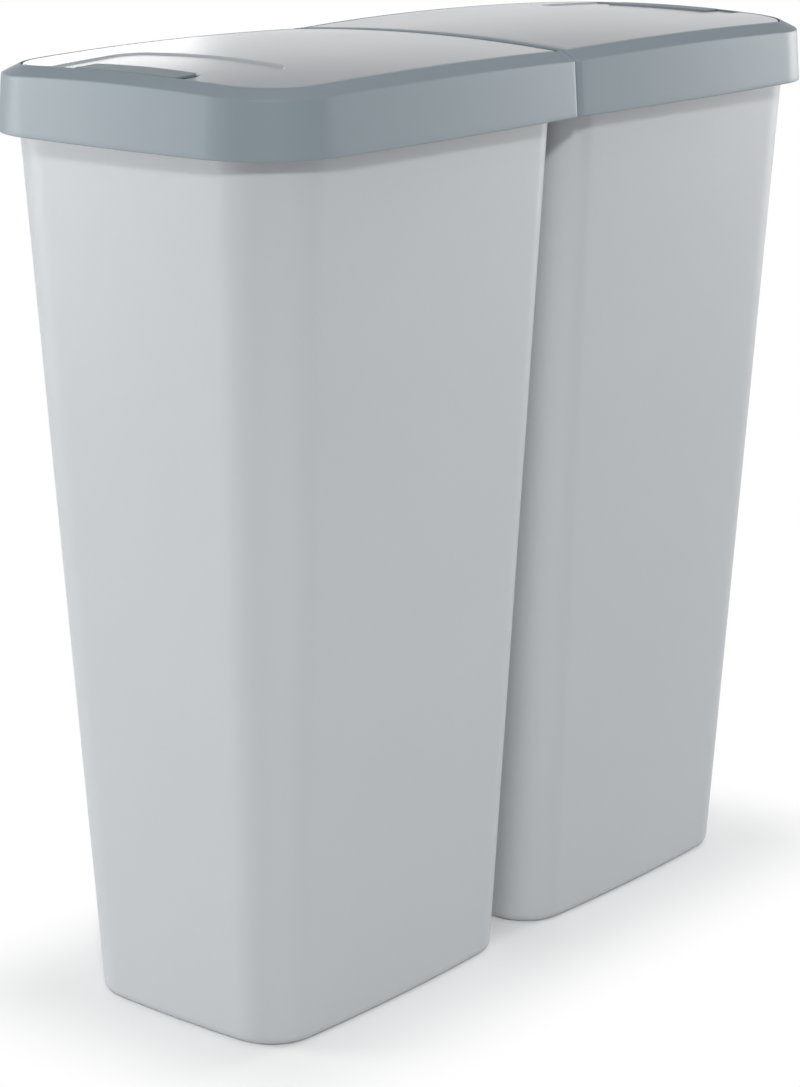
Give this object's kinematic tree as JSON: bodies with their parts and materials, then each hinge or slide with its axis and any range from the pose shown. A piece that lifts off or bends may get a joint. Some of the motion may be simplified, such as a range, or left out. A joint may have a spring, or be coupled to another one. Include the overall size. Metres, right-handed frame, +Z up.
{
  "type": "double recycling bin",
  "caption": "Pair of tapered recycling bins joined side by side, each with a lift-off lid, a crowned flap hinged at the seam and a push button latch at the outer end.",
  "frame": {"origin": "on the floor, at the middle of the seam between the two bins", "axes": "+Z up; X along the long direction, through both bins; -Y towards the front long side"},
  "size_m": [0.532, 0.235, 0.5537],
  "materials": {
    "light_grey_plastic": "smooth satin moulded polypropylene",
    "blue_grey_plastic": "smooth satin moulded polypropylene",
    "pale_grey_plastic": "smooth satin moulded polypropylene",
    "dark_plastic": "moulded acetal",
    "steel": "bright drawn steel wire"
  },
  "bodies": {
    "bins": {"left_container": "light_grey_plastic", "right_container": "light_grey_plastic", "front_joining_clip": "light_grey_plastic", "rear_joining_clip": "light_grey_plastic"},
    "left_lid": {"left_lid_frame": "blue_grey_plastic", "left_hinge_rod": "steel", "left_flap_spring": "steel", "left_button_spring": "steel"},
    "left_flap": {"left_flap": "pale_grey_plastic"},
    "left_button": {"left_push_button": "blue_grey_plastic"},
    "left_latch": {"left_latch_slider": "dark_plastic"},
    "right_lid": {"right_lid_frame": "blue_grey_plastic", "right_hinge_rod": "steel", "right_flap_spring": "steel", "right_button_spring": "steel"},
    "right_flap": {"right_flap": "pale_grey_plastic"},
    "right_button": {"right_push_button": "blue_grey_plastic"},
    "right_latch": {"right_latch_slider": "dark_plastic"}
  },
  "joints": [
    {"name": "left_lid_lift", "type": "slide", "parent": "bins", "child": "left_lid", "axis": [0, 0, 1], "range_m": [0, 0.06]},
    {"name": "left_flap_hinge", "type": "hinge", "parent": "left_lid", "child": "left_flap", "pos_m": [-0.016, 0, 0.5451], "axis": [0, 1, 0], "range_deg": [0, 90]},
    {"name": "left_button_press", "type": "slide", "parent": "left_lid", "child": "left_button", "axis": [0, 0, -1], "range_m": [0, 0.0024], "stiffness_N_per_m": 400, "springref_m": -0.003, "deforming": ["left_button_spring"]},
    {"name": "left_latch_slide", "type": "slide", "parent": "left_lid", "child": "left_latch", "axis": [-1, 0, 0], "range_m": [0, 0.0016]},
    {"name": "right_lid_lift", "type": "slide", "parent": "bins", "child": "right_lid", "axis": [0, 0, 1], "range_m": [0, 0.06]},
    {"name": "right_flap_hinge", "type": "hinge", "parent": "right_lid", "child": "right_flap", "pos_m": [0.016, 0, 0.5451], "axis": [0, -1, 0], "range_deg": [0, 90]},
    {"name": "right_button_press", "type": "slide", "parent": "right_lid", "child": "right_button", "axis": [0, 0, -1], "range_m": [0, 0.0024], "stiffness_N_per_m": 400, "springref_m": -0.003, "deforming": ["right_button_spring"]},
    {"name": "right_latch_slide", "type": "slide", "parent": "right_lid", "child": "right_latch", "axis": [1, 0, 0], "range_m": [0, 0.0016]}
  ],
  "couplings": [
    {"joint": "left_latch_slide", "follows": "left_button_press", "ratio": 0.66666},
    {"joint": "right_latch_slide", "follows": "right_button_press", "ratio": 0.66666}
  ]
}
